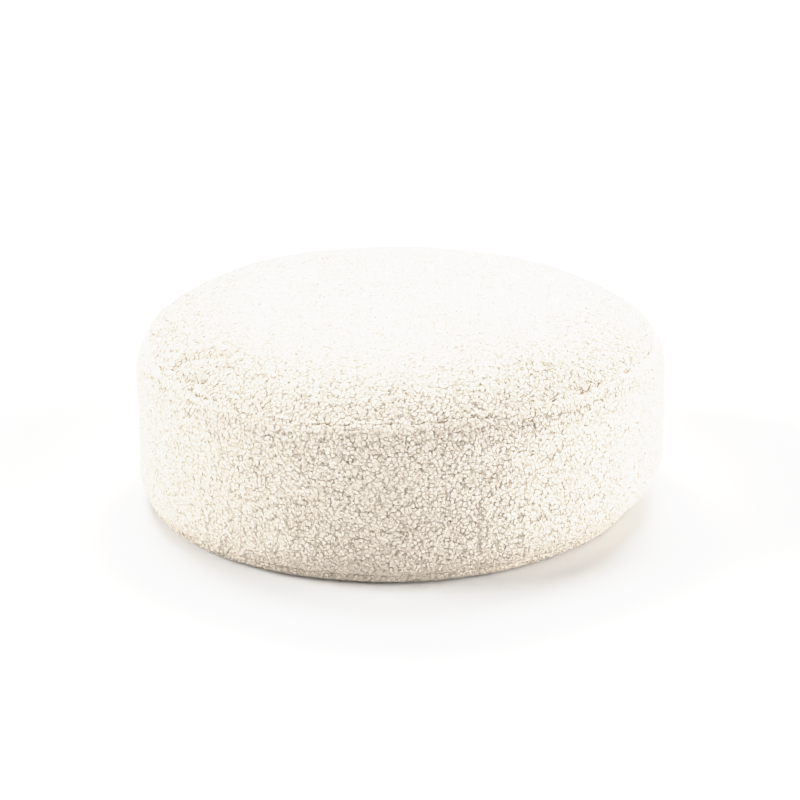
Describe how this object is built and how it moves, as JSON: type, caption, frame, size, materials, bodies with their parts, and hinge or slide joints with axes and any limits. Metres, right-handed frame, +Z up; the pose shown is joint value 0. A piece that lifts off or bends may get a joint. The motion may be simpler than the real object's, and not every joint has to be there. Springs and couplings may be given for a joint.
{
  "type": "round floor pouf",
  "caption": "Round, low floor pouf in curly teddy cloth, with a gently crowned top panel, a bellied side band and a flat base.",
  "frame": {"origin": "middle of the bounding box's footprint, at the height of the flat base", "axes": "+Z up, along the pouf's height, its shortest side; -Y is the side that the picture shows"},
  "size_m": [0.6006, 0.6, 0.2321],
  "materials": {
    "teddy_cloth": "matt, short curly pile"
  },
  "bodies": {
    "root": {"top_panel": "teddy_cloth", "side_band": "teddy_cloth", "base_panel": "teddy_cloth"}
  },
  "joints": []
}
